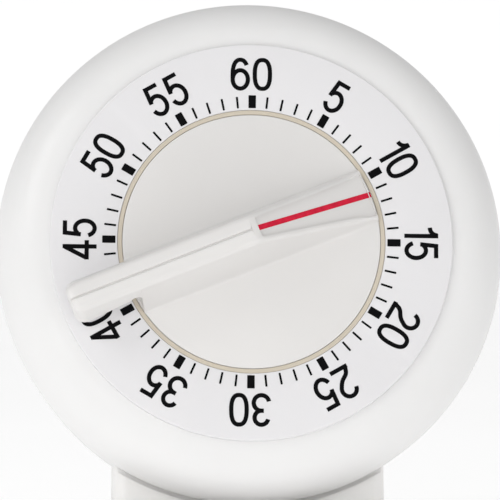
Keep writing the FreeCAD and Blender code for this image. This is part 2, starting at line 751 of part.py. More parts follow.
def main_arbor():
    """The arbor that carries knob, mainspring, main wheel and strike cam, with its clutch washer."""
    low = turned("arbor_low", (
        ("0", "-frame_deep - 2.2"),
        ("shaft_rad", "-frame_deep - 2.2"),
        ("shaft_rad", "-hub_deep - 0.6"),
        ("0", "-hub_deep - 0.6"),
    ), None)
    end = d_rod("arbor_end", "shaft_rad", "shaft_flat", "4.8", "-hub_deep - 0.6")
    node("main_arbor", boolean("MultiFuse", "main_arbor", low, end), KNOB_PLACE)
    node("clutch_washer", turned("clutch_washer", (
        ("shaft_rad + 0.02", "-15.9"),
        ("shaft_rad + 0.6", "-15.9"),
        ("4", "-15.55"),
        ("4", "-15.45"),
        ("shaft_rad + 0.6", "-15.6"),
        ("shaft_rad + 0.02", "-15.6"),
    ), head_place()))


SPRING_BOTTOM = -13.7


def mainspring():
    """The coiled strip round the main arbor, its turns drawn as half circles, and its post."""
    pitch = dim("spring_pitch")
    thick = dim("spring_thick")
    halves = 12
    edges = []
    for offset, order in ((0, range(halves)), (thick, reversed(range(halves)))):
        for number in order:
            radius = dim("spring_rad") + number * pitch / 2 + offset
            centre = 0 if number % 2 == 0 else pitch / 2
            side = 1 if number % 2 == 0 else -1
            start = Vector(centre + side * radius, 0, SPRING_BOTTOM)
            end = Vector(centre - side * radius, 0, SPRING_BOTTOM)
            top = Vector(centre, side * radius, SPRING_BOTTOM)
            edges.append(Part.Arc(start, top, end).toShape())
    inner, outer = edges[:halves], edges[halves:]
    starts = [Vector(dim("spring_rad") + extra, 0, SPRING_BOTTOM) for extra in (0, thick)]
    last = dim("spring_rad") + (halves - 1) * pitch / 2
    ends = [Vector(pitch / 2 + last + extra, 0, SPRING_BOTTOM) for extra in (0, thick)]
    caps = [Part.makeLine(*starts), Part.makeLine(*ends)]
    wire = Part.Wire(Part.__sortEdges__(inner + outer + caps))
    strip = Part.Face(wire).extrude(Vector(0, 0, dim("spring_wide")))
    piece = doc.addObject("Part::Feature", "mainspring")
    piece.Shape = strip
    node("mainspring", piece, head_place())
    x = "spring_pitch / 2 + spring_rad + 5.5 * spring_pitch + spring_thick + 0.85"
    node("spring_post", turned("spring_post", rod("0.8", "-plate_deep - plate_thick",
                                                  str(SPRING_BOTTOM)),
                               head_place(x, "0")))


# ---------------------------------------------------------------- the escapement

def escapement():
    """The pallet lever with its two pins, its arbor, and the inertia bar that paces it."""
    place = head_place(*TRAIN["pallet"])
    node("pallet_arbor", turned("pallet_arbor", arbor_corners(), place))
    lever = new_body("pallet_lever", place)
    pad(lever, outline(lever, "XY_Plane", (
        ("1.8", "-1.6"),
        ("1.8", "1.6"),
        ("-1.6", "6.2"),
        ("-3.9", "6.2"),
        ("-3.9", "4.6"),
        ("-1.4", "0.9"),
        ("-1.4", "-0.9"),
        ("-3.9", "-4.6"),
        ("-3.9", "-6.2"),
        ("-1.6", "-6.2"),
    ), "-16.4"), "0.7")
    bore = [("0", "0", "arbor_rad + 0.02")]
    pins = [(x, y, "0.3") for x, y in PALLET_PINS]
    pocket(lever, circles(lever, "XY_Plane", bore + pins, "-15"), "3")
    node("pallet_lever", lever)
    group("pallet_pins", [
        turned(f"pallet_pin_{number}", rod("0.28", "-14.3", "-16.4"),
               place.multiply(Placement(Vector(dim(x), dim(y), 0), Rotation())))
        for number, (x, y) in enumerate(PALLET_PINS)])
    bar = new_body("inertia_bar", place)
    pad(bar, outline(bar, "XY_Plane", (
        ("-1.3", "-7.5"),
        ("1.3", "-7.5"),
        ("1.3", "7.5"),
        ("-1.3", "7.5"),
    ), "-19.4"), "1.6")
    pocket(bar, circles(bar, "XY_Plane", (("0", "0", "arbor_rad + 0.02"),), "-17"), "4")
    node("inertia_bar", bar)


# ---------------------------------------------------------------- the strike

def strike():
    """The cam on the arbor's rear end, the hammer and its spring, and the gong on its post."""
    cam = new_body("strike_cam", KNOB_PLACE)
    cam_corners = [ring_spot("8", str(40 * number)) for number in range(9)]
    pad(cam, outline(cam, "XY_Plane", [corner + ("8",) for corner in cam_corners],
                     "-frame_deep - 1.5"), "1")
    pocket(cam, outline(cam, "XY_Plane", (("5.5", "-1"), ("9", "-1.6"), ("9", "1.6"), ("5.5", "1")),
                        "-frame_deep"), "3")
    pocket(cam, circles(cam, "XY_Plane", (("0", "0", "shaft_rad + 0.02"),), "-frame_deep"), "3")
    node("strike_cam", cam)
    post = head_place(*HAMMER_POST)
    node("hammer_post", turned("hammer_post", (
        ("0", "-frame_deep - 6"),
        ("2", "-frame_deep - 6"),
        ("2", "-frame_deep - 5.4"),
        ("1.2", "-frame_deep - 5.4"),
        ("1.2", "-frame_deep - 0.4"),
        ("2", "-frame_deep - 0.4"),
        ("2", "-frame_deep"),
        ("0", "-frame_deep"),
    ), post))
    lever = new_body("hammer_lever", post)
    pad(lever, outline(lever, "XY_Plane", (
        ("2.6", "-2.6"),
        ("2.6", "2.6"),
        ("-3.6", "19"),
        ("-7.4", "19.6"),
        ("-8.4", "16.4"),
        ("-2.4", "4.2"),
        ("-13.9", "11.6"),
        ("-14.9", "10.2"),
        ("-2.6", "0.4"),
        ("-2.6", "-2.6"),
    ), "-frame_deep - 1.5"), "1")
    holes = (("0", "0", "1.2 + fit_gap"), HAMMER_HEAD + ("1.02",))
    pocket(lever, circles(lever, "XY_Plane", holes, "-frame_deep"), "4")
    node("hammer_lever", lever)
    node("hammer_head", turned("hammer_head", (
        ("0", "-frame_deep - 9"),
        ("2", "-frame_deep - 9"),
        ("2.4", "-frame_deep - 8.6"),
        ("2.4", "-frame_deep - 3"),
        ("1", "-frame_deep - 2.4"),
        ("1", "-frame_deep - 0.5"),
        ("0", "-frame_deep - 0.5"),
    ), post.multiply(Placement(Vector(dim(HAMMER_HEAD[0]), dim(HAMMER_HEAD[1]), 0), Rotation()))))
    coils = [turned(f"hammer_coil_{number}", tube("1.5", "2", f"-frame_deep - {top}",
                                                  f"-frame_deep - {top} - 0.6"), post)
             for number, top in enumerate(("1.7", "2.5", "3.3", "4.1"))]
    group("hammer_spring", coils)
    centre = head_place("gong_x", "gong_y")
    node("gong", turned("gong", (
        ("1.6", "-gong_back"),
        ("gong_rad - 4", "-gong_back", "4"),
        ("gong_rad", "-gong_back + 4"),
        ("gong_rad", "-gong_mouth"),
        ("gong_rad - gong_wall", "-gong_mouth"),
        ("gong_rad - gong_wall", "-gong_back + 4", "-(4 - gong_wall)"),
        ("gong_rad - 4", "-gong_back + gong_wall"),
        ("1.6", "-gong_back + gong_wall"),
    ), centre))
    node("gong_post", turned("gong_post", (
        ("0", "-gong_back - 2"),
        ("1.5", "-gong_back - 2"),
        ("1.5", "-gong_back + gong_wall"),
        ("2.4", "-gong_back + gong_wall"),
        ("2.4", "-frame_deep"),
        ("0", "-frame_deep"),
    ), centre))
    node("gong_nut", hex_nut("gong_nut", "1.55", "3", "-gong_back - 1.6", "1.6", centre))


# ---------------------------------------------------------------- the stand

def drum_space(name, gap, shelf):
    """The room that the head takes in the stand: rear cover plus a gap, casing plus a shelf."""
    flat_rad = "cover_rad - cover_round"
    corner = f"cover_round + {gap}"
    return turned(name, (
        ("0", f"-cover_deep - {gap}"),
        (flat_rad, f"-cover_deep - {gap}", corner),
        (f"cover_rad + {gap}", "-cover_deep + cover_round"),
        (f"head_rad - 1 + {gap}", "-joint_deep - 0.6"),
        (f"head_rad + {shelf}", "-joint_deep - 0.6"),
        (f"head_rad + {shelf}", "0"),
        ("0", "0"),
    ), head_place())


def round_sides(body, base, radius, low):
    """Round the long edges of a symmetric prism's two side faces, above the given height."""
    half = base.Shape.BoundBox.XMax
    names = []
    for number, edge in enumerate(base.Shape.Edges, start=1):
        ends = [vertex.Point for vertex in edge.Vertexes]
        on_side = all(abs(abs(end.x) - half) < 1e-6 for end in ends)
        if on_side and max(end.z for end in ends) > low + 1:
            names.append(f"Edge{number}")
    feature = body.newObject("PartDesign::Fillet", body.Name + "_fillet")
    feature.Base = (base, names)
    feature.setExpression("Radius", bound(radius))
    doc.recompute()


FLOOR = "foot_high + base_thick"
BASE_SCREWS = [(x, y) for x in ("22.3", "-22.3") for y in ("-6", "16")]
FEET = [(x, y) for x in ("23", "-23") for y in ("-19", "28")]


def pedestal():
    """The hollow stand: a cradle under the rear cover and a neck behind it."""
    block = new_body("pedestal_block")
    body_pad = pad(block, outline(block, "YZ_Plane", (
        ("-stand_front", FLOOR),
        ("-stand_front + 4.3", "24"),
        ("neck_back - 6", "neck_high"),
        ("neck_back", "neck_high"),
        ("stand_back", FLOOR),
    )), "stand_wide", both_ways=True)
    round_sides(block, body_pad, "stand_round", dim(FLOOR))
    hollow = prism("pedestal_hollow", "YZ_Plane", (
        ("-stand_front + wall + 0.3", "1"),
        ("-stand_front + wall + 4.4", "24"),
        ("neck_back - 4.5", "neck_high - wall"),
        ("neck_back - wall - 0.3", "neck_high - wall"),
        ("stand_back - wall + 1", "1"),
    ), "stand_wide - 2 * wall", both_ways=True)
    cavity = boolean("Cut", "pedestal_cavity", hollow, drum_space("cradle", "wall", "wall"))
    shell = boolean("Cut", "pedestal_shell", block, cavity)
    bosses = [turned(f"pedestal_boss_{number}", rod("boss_rad", "13.5", FLOOR),
                     Placement(Vector(dim(x), dim(y), 0), Rotation()))
              for number, (x, y) in enumerate(BASE_SCREWS)]
    solid = boolean("MultiFuse", "pedestal_solid", shell, *bosses)
    tools = [drum_space("drum_space", "0.05", "0.3")]
    for number, (x, y) in enumerate(BASE_SCREWS):
        tools.append(turned(f"pilot_{number}", rod("screw_rad + 0.05", "9.4", "0"),
                            Placement(Vector(dim(x), dim(y), 0), Rotation())))
    for number, (x, y) in enumerate(NECK_SCREWS):
        place = head_place(x, y)
        tools.append(turned(f"neck_hole_{number}", rod("screw_rad + 0.3", "-36", "-43"), place))
        tools.append(turned(f"access_{number}", rod("screw_head + 0.6", "-43", "-62"), place))
    space = boolean("MultiFuse", "pedestal_tools", *tools)
    node("pedestal", boolean("Cut", "pedestal", solid, space))
    group("pedestal_screws", [
        screw(f"pedestal_screw_{number}", "-32", "-cover_deep - wall - 0.1", "1.8",
              head_place(x, y))
        for number, (x, y) in enumerate(NECK_SCREWS)
    ])


def base_plate():
    """The foot plate, with recesses below for the feet and the screw heads."""
    body = new_body("base_plate")
    side, front, back, turn = "base_wide / 2", "-base_front", "base_back", "base_round"
    pad(body, outline(body, "XY_Plane", (
        (f"{side} - {turn}", front, turn),
        (side, f"{front} + {turn}"),
        (side, f"{back} - {turn}", turn),
        (f"{side} - {turn}", back),
        (f"{turn} - {side}", back, turn),
        (f"-{side}", f"{back} - {turn}"),
        (f"-{side}", f"{front} + {turn}", turn),
        (f"{turn} - {side}", front),
    ), "foot_high"), "base_thick")
    pocket(body, circles(body, "XY_Plane", [(x, y, "foot_rad + 0.05") for x, y in FEET],
                         "foot_high + foot_sink"), "2")
    pocket(body, circles(body, "XY_Plane", [(x, y, "screw_head + 0.3") for x, y in BASE_SCREWS],
                         "foot_high + 1.8"), "3")
    pocket(body, circles(body, "XY_Plane", [(x, y, "screw_rad + 0.3") for x, y in BASE_SCREWS],
                         f"{FLOOR} + 1"), "6")
    node("base_plate", body)
    group("base_screws", [
        screw(f"base_screw_{number}", "9", "foot_high + 1.8", "1.7",
              Placement(Vector(dim(x), dim(y), 0), Rotation()))
        for number, (x, y) in enumerate(BASE_SCREWS)
    ])
    group("rubber_feet", [turned(f"rubber_foot_{number}", (
        ("0", "0"),
        ("foot_rad - 0.4", "0"),
        ("foot_rad", "0.4"),
        ("foot_rad", "foot_high + foot_sink"),
        ("0", "foot_high + foot_sink"),
    ), Placement(Vector(dim(x), dim(y), 0), Rotation())) for number, (x, y) in enumerate(FEET)])


# ---------------------------------------------------------------- check and write

def write_parts():
    """Check every object and every sub-part, then write one STEP file for each sub-part."""
    doc.recompute()
    failed = [item.Name for item in doc.Objects
              if any(word in item.State for word in ("Invalid", "Error"))]
    if failed:
        raise RuntimeError("failed objects: " + ", ".join(failed))
    for piece in nodes:
        if piece.Shape.isNull() or not piece.Shape.isValid():
            raise RuntimeError("bad shape: " + piece.Label)
    os.makedirs("parts", exist_ok=True)
    for piece in nodes:
        piece.Shape.exportStep(f"parts/{piece.Label}.step")
    print(len(nodes), "sub-parts written")


front_casing()
rear_cover()
dial_and_ring()
casing_screws()
knob()
pointer_line()
knob_clip()
stop_pin()
movement_frame()
train()
main_arbor()
mainspring()
escapement()
strike()
pedestal()
base_plate()
write_parts()
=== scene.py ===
"""The lab timer's looks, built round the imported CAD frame.

Shapes are given in millimetres. The head and its screws use the dial's frame: x right, y up the
dial, z out of the dial, zero at the middle of its front face. The knob uses the same frame turned
so that x runs along the pointer, and the base's screws use the row's frame. Lights and camera are
in metres in the row's frame.
"""
import json
import math

import bmesh
import bpy
from mathutils import Matrix, Vector


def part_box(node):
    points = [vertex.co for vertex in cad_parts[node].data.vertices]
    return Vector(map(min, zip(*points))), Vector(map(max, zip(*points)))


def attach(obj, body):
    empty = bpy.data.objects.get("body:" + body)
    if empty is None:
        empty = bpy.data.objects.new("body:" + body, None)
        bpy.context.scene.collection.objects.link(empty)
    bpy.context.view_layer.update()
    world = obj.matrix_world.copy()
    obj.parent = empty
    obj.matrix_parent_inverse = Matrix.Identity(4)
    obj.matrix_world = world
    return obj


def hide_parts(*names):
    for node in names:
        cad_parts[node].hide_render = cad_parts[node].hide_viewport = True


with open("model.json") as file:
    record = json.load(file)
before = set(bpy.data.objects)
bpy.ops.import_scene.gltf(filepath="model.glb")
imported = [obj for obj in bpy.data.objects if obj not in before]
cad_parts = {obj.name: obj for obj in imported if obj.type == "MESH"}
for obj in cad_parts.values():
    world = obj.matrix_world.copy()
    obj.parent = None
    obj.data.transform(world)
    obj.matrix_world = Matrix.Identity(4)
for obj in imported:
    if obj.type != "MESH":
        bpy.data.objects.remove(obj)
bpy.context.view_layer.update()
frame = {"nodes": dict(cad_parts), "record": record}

MM = 0.001

# ---------------------------------------------------------------- the dial's frame

joints = {joint["name"]: joint for joint in frame["record"]["behaviour"]["joints"]}
DIAL_CENTRE = Vector(joints["knob_turn"]["pos_m"])
DIAL_OUT = -Vector(joints["knob_turn"]["axis"]).normalized()
DIAL_RIGHT = Vector((1, 0, 0))
DIAL_UP = DIAL_OUT.cross(DIAL_RIGHT)
SET_ANGLE = math.radians(-joints["knob_turn"]["range_deg"][0])

HEAD_RAD = (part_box("front_casing")[1][0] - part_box("front_casing")[0][0]) / 2 / MM
DIAL_RAD = (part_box("dial_plate")[1][0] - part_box("dial_plate")[0][0]) / 2 / MM
RING_RAD = (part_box("knob_seat_ring")[1][0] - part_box("knob_seat_ring")[0][0]) / 2 / MM


def frame_matrix(origin, right, up, out):
    """Matrix from a frame in millimetres to the row's frame in metres."""
    axes = Matrix((right, up, out)).transposed().to_4x4()
    return Matrix.Translation(origin) @ axes @ Matrix.Scale(MM, 4)


DIAL = frame_matrix(DIAL_CENTRE, DIAL_RIGHT, DIAL_UP, DIAL_OUT)
KNOB = DIAL @ Matrix.Rotation(math.pi / 2 - SET_ANGLE, 4, "Z")
ROW = Matrix.Scale(MM, 4)


# ---------------------------------------------------------------- mesh tools

def finish_mesh(name, mesh, sharp=40):
    """Make a smooth-shaded object with sharp edges where faces meet at a steep angle."""
    mesh.shade_smooth()
    mesh.set_sharp_from_angle(angle=math.radians(sharp))
    piece = bpy.data.objects.new(name, mesh)
    bpy.context.scene.collection.objects.link(piece)
    return piece


def mesh_object(name, points, faces, place, sharp=40):
    """An object from points in a millimetre frame, with its faces turned outwards."""
    mesh = bpy.data.meshes.new(name)
    mesh.from_pydata([place @ Vector(point) for point in points], [], faces)
    work = bmesh.new()
    work.from_mesh(mesh)
    bmesh.ops.remove_doubles(work, verts=work.verts, dist=1e-7)
    bmesh.ops.recalc_face_normals(work, faces=work.faces)
    work.to_mesh(mesh)
    work.free()
    return finish_mesh(name, mesh, sharp)


def softened(corners, steps=6, closed=True):
    """An outline with round corners: each corner is (x, y) or (x, y, radius)."""
    line = []
    count = len(corners)
    for number, corner in enumerate(corners):
        at = Vector(corner[:2])
        radius = corner[2] if len(corner) > 2 else 0
        inside = closed or 0 < number < count - 1
        if radius <= 0 or not inside:
            line.append(tuple(at))
            continue
        back = Vector(corners[number - 1][:2]) - at
        ahead = Vector(corners[(number + 1) % count][:2]) - at
        half = back.angle(ahead) / 2
        reach = radius / math.tan(half)
        start = at + back.normalized() * reach
        middle = at + (back.normalized() + ahead.normalized()).normalized() * radius / math.sin(half)
        sweep = math.pi - 2 * half
        turn = 1 if back.x * ahead.y - back.y * ahead.x < 0 else -1
        first = start - middle
        for step in range(steps + 1):
            angle = turn * sweep * step / steps
            spin = Matrix.Rotation(angle, 2)
            line.append(tuple(middle + spin @ first))
    return line


def arc_line(centre, radii, start, stop, steps):
    """Points of an elliptical arc, angles in degrees."""
    line = []
    for step in range(steps + 1):
        angle = math.radians(start + (stop - start) * step / steps)
        line.append((centre[0] + radii[0] * math.cos(angle), centre[1] + radii[1] * math.sin(angle)))
    return line


def lathe(name, outline, place=DIAL, centre=(0, 0), segments=224, sharp=40):
    """A turned piece from a closed outline of (radius, z); points on the axis become one point."""
    points = []
    faces = []
    rings = []
    for radius, depth in outline:
        if radius < 1e-6:
            rings.append([len(points)] * segments)
            points.append((centre[0], centre[1], depth))
            continue
        rings.append(list(range(len(points), len(points) + segments)))
        for number in range(segments):
            angle = 2 * math.pi * number / segments
            points.append((centre[0] + radius * math.cos(angle),
                           centre[1] + radius * math.sin(angle), depth))
    for number, ring in enumerate(rings):
        other = rings[(number + 1) % len(rings)]
        for step in range(segments):
            after = (step + 1) % segments
            corners = [ring[step], ring[after], other[after], other[step]]
            unique = list(dict.fromkeys(corners))
            if len(unique) > 2:
                faces.append(unique)
    return mesh_object(name, points, faces, place, sharp)


def prism(name, outline, low, high, place=DIAL, sharp=40):
    """A flat outline given thickness between two heights."""
    count = len(outline)
    points = [(x, y, low) for x, y in outline] + [(x, y, high) for x, y in outline]
    faces = [list(range(count)), list(range(count, 2 * count))]
    for number in range(count):
        after = (number + 1) % count
        faces.append([number, after, after + count, number + count])
    return mesh_object(name, points, faces, place, sharp)


def loft_faces(loops, size):
    """Faces of the closed skin between successive loops of points."""
    faces = []
    for row in range(loops - 1):
        for step in range(size):
            after = (step + 1) % size
            faces.append([row * size + step, row * size + after,
                          (row + 1) * size + after, (row + 1) * size + step])
    return faces


def joined(name, pieces):
    """One object from several, keeping every face."""
    work = bmesh.new()
    for piece in pieces:
        work.from_mesh(piece.data)
    mesh = bpy.data.meshes.new(name)
    work.to_mesh(mesh)
    work.free()
    for piece in pieces:
        drop(piece)
    return finish_mesh(name, mesh)


def drop(piece):
    """Remove an object and its mesh."""
    mesh = piece.data
    bpy.data.objects.remove(piece)
    bpy.data.meshes.remove(mesh)


def boolean(piece, tool, operation, sharp=40):
    """Join or cut a piece with a tool mesh, which is used up."""
    modifier = piece.modifiers.new("boolean", "BOOLEAN")
    modifier.operation = operation
    modifier.solver = "EXACT"
    modifier.object = tool
    bpy.context.view_layer.update()
    graph = bpy.context.evaluated_depsgraph_get()
    mesh = bpy.data.meshes.new_from_object(piece.evaluated_get(graph))
    name = piece.name
    drop(piece)
    drop(tool)
    mesh.name = name
    return finish_mesh(name, mesh, sharp)


def place_piece(piece, body, *nodes, material=None, slot=None):
    """Say what a finished piece rides on, which CAD nodes it stands for, and its finish."""
    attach(piece, body)
    if nodes:
        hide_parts(*nodes)
    if material:
        piece.data.materials.clear()
        piece.data.materials.append(material)


# ---------------------------------------------------------------- materials

def shader(name):
    """A new material, its principled shader and its node tools."""
    material = bpy.data.materials.new(name)
    material.use_nodes = True
    nodes = material.node_tree.nodes
    return material, nodes["Principled BSDF"], nodes, material.node_tree.links


def noise(nodes, links, scale, detail=3.0, stretch=None):
    """Object-space noise; stretch is a scale for each axis."""
    place = nodes.new("ShaderNodeTexCoord")
    field = nodes.new("ShaderNodeTexNoise")
    field.inputs["Scale"].default_value = scale
    field.inputs["Detail"].default_value = detail
    source = place.outputs["Object"]
    if stretch:
        mapping = nodes.new("ShaderNodeMapping")
        mapping.inputs["Scale"].default_value = stretch
        links.new(source, mapping.inputs["Vector"])
        source = mapping.outputs["Vector"]
    links.new(source, field.inputs["Vector"])
    return field.outputs["Fac"]


def ramp(nodes, links, source, low, high, start=0.3, stop=0.7):
    """Map a field to a range."""
    change = nodes.new("ShaderNodeMapRange")
    change.inputs["From Min"].default_value = start
    change.inputs["From Max"].default_value = stop
    change.inputs["To Min"].default_value = low
    change.inputs["To Max"].default_value = high
    links.new(source, change.inputs["Value"])
    return change.outputs["Result"]


def two_colours(nodes, links, source, first, second):
    """Blend between two colours by a field."""
    mix = nodes.new("ShaderNodeMix")
    mix.data_type = "RGBA"
    mix.inputs["A"].default_value = (*first, 1)
    mix.inputs["B"].default_value = (*second, 1)
    links.new(source, mix.inputs["Factor"])
    return mix.outputs["Result"]


def bump(nodes, links, source, depth):
    """Surface relief from a field, with its depth in metres."""
    node = nodes.new("ShaderNodeBump")
    node.inputs["Distance"].default_value = depth
    node.inputs["Strength"].default_value = 1.0
    links.new(source, node.inputs["Height"])
    return node.outputs["Normal"]


def edge_wear(nodes, links, colour, worn):
    """Blend towards a second colour on convex edges."""
    shape = nodes.new("ShaderNodeNewGeometry")
    edge = ramp(nodes, links, shape.outputs["Pointiness"], 0.0, 0.6, 0.52, 0.62)
    mix = nodes.new("ShaderNodeMix")
    mix.data_type = "RGBA"
    links.new(edge, mix.inputs["Factor"])
    links.new(colour, mix.inputs["A"])
    mix.inputs["B"].default_value = (*worn, 1)
    return mix.outputs["Result"]


def moulded_plastic(name, colour, rough=0.34, grain=0.000012, soft=0.05):
    """Moulded plastic: faint cloudiness, a fine spark texture and slightly polished edges."""
    material, body, nodes, links = shader(name)
    darker = tuple(part * 0.975 for part in colour)
    lighter = tuple(min(1, part * 1.02) for part in colour)
    cloud = noise(nodes, links, 40, 2)
    tint = two_colours(nodes, links, ramp(nodes, links, cloud, 0, 1), darker, colour)
    links.new(edge_wear(nodes, links, tint, lighter), body.inputs["Base Color"])
    smear = noise(nodes, links, 180, 5)
    links.new(ramp(nodes, links, smear, rough - 0.02, rough + 0.04), body.inputs["Roughness"])
    spark = noise(nodes, links, 2600, 2)
    links.new(bump(nodes, links, spark, grain), body.inputs["Normal"])
    body.inputs["Subsurface Weight"].default_value = soft
    body.inputs["Subsurface Radius"].default_value = (1.0, 0.9, 0.8)
    body.inputs["Subsurface Scale"].default_value = 0.0015
    body.inputs["IOR"].default_value = 1.49
    return material


def printed_ink(name, colour, rough=0.42):
    """Pad-printed ink: slightly uneven density and a dry sheen."""
    material, body, nodes, links = shader(name)
    field = noise(nodes, links, 900, 4)
    thin = tuple(part * 1.3 + 0.001 for part in colour)
    tint = two_colours(nodes, links, ramp(nodes, links, field, 0, 1), colour, thin)
    links.new(tint, body.inputs["Base Color"])
    links.new(ramp(nodes, links, field, rough - 0.06, rough + 0.1), body.inputs["Roughness"])
    links.new(bump(nodes, links, field, 0.000004), body.inputs["Normal"])
    body.inputs["Specular IOR Level"].default_value = 0.04
    return material


def metal(name, colour, rough, stretch, scratch=0.000006):
    """Rolled or turned metal with fine directional scratches and darker tarnish."""
    material, body, nodes, links = shader(name)
    body.inputs["Metallic"].default_value = 1.0
    lines = noise(nodes, links, 500, 6, stretch)
    tarnish = noise(nodes, links, 120, 4)
    dark = tuple(part * 0.72 for part in colour)
    tint = two_colours(nodes, links, ramp(nodes, links, tarnish, 0, 1, 0.35, 0.6), dark, colour)
    bright = tuple(min(1, part * 1.25) for part in colour)
    links.new(edge_wear(nodes, links, tint, bright), body.inputs["Base Color"])
    links.new(ramp(nodes, links, lines, rough - 0.08, rough + 0.14), body.inputs["Roughness"])
    links.new(bump(nodes, links, lines, scratch), body.inputs["Normal"])
    return material


def foot_rubber():
    """Dark rubber with a little dust."""
    material, body, nodes, links = shader("foot_rubber")
    dust = noise(nodes, links, 300, 5)
    tint = two_colours(nodes, links, ramp(nodes, links, dust, 0, 1), (0.035, 0.035, 0.036),
                       (0.075, 0.074, 0.072))
    links.new(tint, body.inputs["Base Color"])
    links.new(ramp(nodes, links, dust, 0.62, 0.85), body.inputs["Roughness"])
    links.new(bump(nodes, links, noise(nodes, links, 1500, 3), 0.00003), body.inputs["Normal"])
    return material


CASING = moulded_plastic("casing_plastic", (0.83, 0.825, 0.82))
# A slightly warmer, lighter copy of the casing plastic; its extra lightness is painted light that
# brightens the pedestal's front where the head shades it.
STAND_PAINTED_LIGHT = moulded_plastic("stand_plastic_painted_light", (0.88, 0.87, 0.855), 0.38)
DIAL_FACE = moulded_plastic("dial_plastic", (0.79, 0.78, 0.79), 0.42, 0.000006)
KNOB_SKIN = moulded_plastic("knob_plastic", (0.755, 0.74, 0.725), 0.3, 0.000006)
# A tan colour that is painted shade: it stands for the shaded gap between the knob's disc and the dial.
RING_GAP_SHADE = moulded_plastic("ring_painted_gap_shade", (0.62, 0.555, 0.45), 0.45)
INK = printed_ink("dial_ink", (0.003, 0.003, 0.0035), 0.6)
RED = printed_ink("pointer_ink", (0.56, 0.018, 0.045), 0.4)
RUBBER = foot_rubber()
STEEL = metal("zinc_steel", (0.60, 0.61, 0.62), 0.32, (1, 1, 9))
SPRING = metal("spring_steel", (0.25, 0.28, 0.36), 0.28, (1, 1, 14))
BRASS = metal("rolled_brass", (0.72, 0.52, 0.22), 0.3, (9, 1, 1))
BELL = metal("bell_nickel", (0.66, 0.65, 0.62), 0.18, (1, 1, 5), 0.000002)

SLOT_LOOKS = {
    "casing_white": CASING,
    "dial_white": DIAL_FACE,
    "knob_white": KNOB_SKIN,
    "ring_beige": RING_GAP_SHADE,
    "pointer_red": RED,
    "foot_rubber": RUBBER,
    "steel": STEEL,
    "spring_steel": SPRING,
    "brass": BRASS,
    "bell_steel": BELL,
}


def dress_nodes():
    """Give every carried-over CAD node the look of its material slot; the pedestal and base plate
    instead get a lightened copy of the casing plastic, painted light for the pedestal's shaded front.
    """
    for part in frame["record"]["subparts"]:
        piece = frame["nodes"][part["node"]]
        for spot in piece.material_slots:
            look = SLOT_LOOKS[part["material_slot"]]
            # The pedestal and base plate take the lightened stand plastic: painted light on the
            # pedestal's shaded front.
            spot.material = STAND_PAINTED_LIGHT if part["node"] in ("pedestal", "base_plate") else look


# ---------------------------------------------------------------- the head

DIAL_THICK = 1.2
FACE_RAD = 41.6
DOME_DEEP = 12.0
JOINT_DEEP = 18.0
WALL = 2.2
WELL_RAD = 27.6
WELL_DEEP = 3.6
COVER_DEEP = 38.5
COVER_RAD = 48.7
RIM_STEPS = 26
SCREW_RING = 38.6
BOSS_RAD = 3.4
PILOT_RAD = 1.25
SINK_RAD = 3.0
CLEAR_RAD = 1.5
SLOTS = 7
SLOT_STEP = 5
SLOT_HALF = 1.2
SLOT_ROUND = 1.15
SLOT_LOW = -7.8
SLOT_HIGH = 15.8
SCREW_HEAD = 2.7
SCREW_RAD = 1.2
RECESS_REACH = 1.45
RECESS_HALF = 0.3


def ring_spots(start, count):
    """Evenly spaced spots on the circle of screws, from a start angle in degrees."""
    angles = [math.radians(start + 360 * number / count) for number in range(count)]
    return [(SCREW_RING * math.cos(angle), SCREW_RING * math.sin(angle)) for angle in angles]


CASING_SPOTS = ring_spots(45, 4)
MOVEMENT_SPOTS = ring_spots(90, 3)
NECK_SPOTS = ((14, -28), (-14, -28))
BASE_SPOTS = [(x, y) for x in (22.3, -22.3) for y in (-6, 16)]


def rod(radius, low, high, centre, place=DIAL):
    """A plain round rod at a spot, between two depths."""
    return lathe("rod", [(0, low), (radius, low), (radius, high), (0, high)], place, centre, 64)


def dome_line(inset):
    """The rounded rim from the face to the widest circle, as a quarter ellipse."""
    wide = HEAD_RAD - FACE_RAD
    deep = DOME_DEEP - DIAL_THICK
    line = []
    for step in range(RIM_STEPS + 1):
        angle = math.pi / 2 * (1 - step / RIM_STEPS)
        reach = abs(math.cos(angle)) ** 0.96
        line.append((FACE_RAD + (wide - inset) * reach,
                     -DOME_DEEP + (deep - inset) * math.sin(angle)))
    return line


def front_casing():
    """The front moulding: the well, the seat of the dial, a shallow cove and the rounded rim."""
    outer = softened([
        (5.6, -5.4), (5.6, -WELL_DEEP, 0.3), (WELL_RAD, -WELL_DEEP, 0.3),
        (WELL_RAD, -DIAL_THICK - 0.02, 0.1), (DIAL_RAD + 0.15, -DIAL_THICK - 0.02),
    ], closed=False)
    rim = dome_line(0)
    skirt = softened([
        rim[-1], (HEAD_RAD - 0.35, -JOINT_DEEP + 1.4, 2), (HEAD_RAD - 0.75, -JOINT_DEEP + 0.02, 0.3),
        (HEAD_RAD - WALL - 0.7, -JOINT_DEEP + 0.02),
    ], closed=False)
    inner = list(reversed(dome_line(WALL)))
    back = [(WELL_RAD + WALL, -DIAL_THICK - WALL), (WELL_RAD + WALL, -5.4)]
    shell = lathe("front_casing_shell", outer + rim + skirt[1:] + inner + back)
    long = [rod(BOSS_RAD, -JOINT_DEEP + 0.05, -2.9, spot) for spot in CASING_SPOTS]
    short = [rod(BOSS_RAD, -8, -2.9, spot) for spot in MOVEMENT_SPOTS]
    shell = boolean(shell, joined("casing_bosses", long + short), "UNION")
    holes = [rod(PILOT_RAD, -20, -4.2, spot) for spot in CASING_SPOTS + MOVEMENT_SPOTS]
    return boolean(shell, joined("casing_holes", holes), "DIFFERENCE")


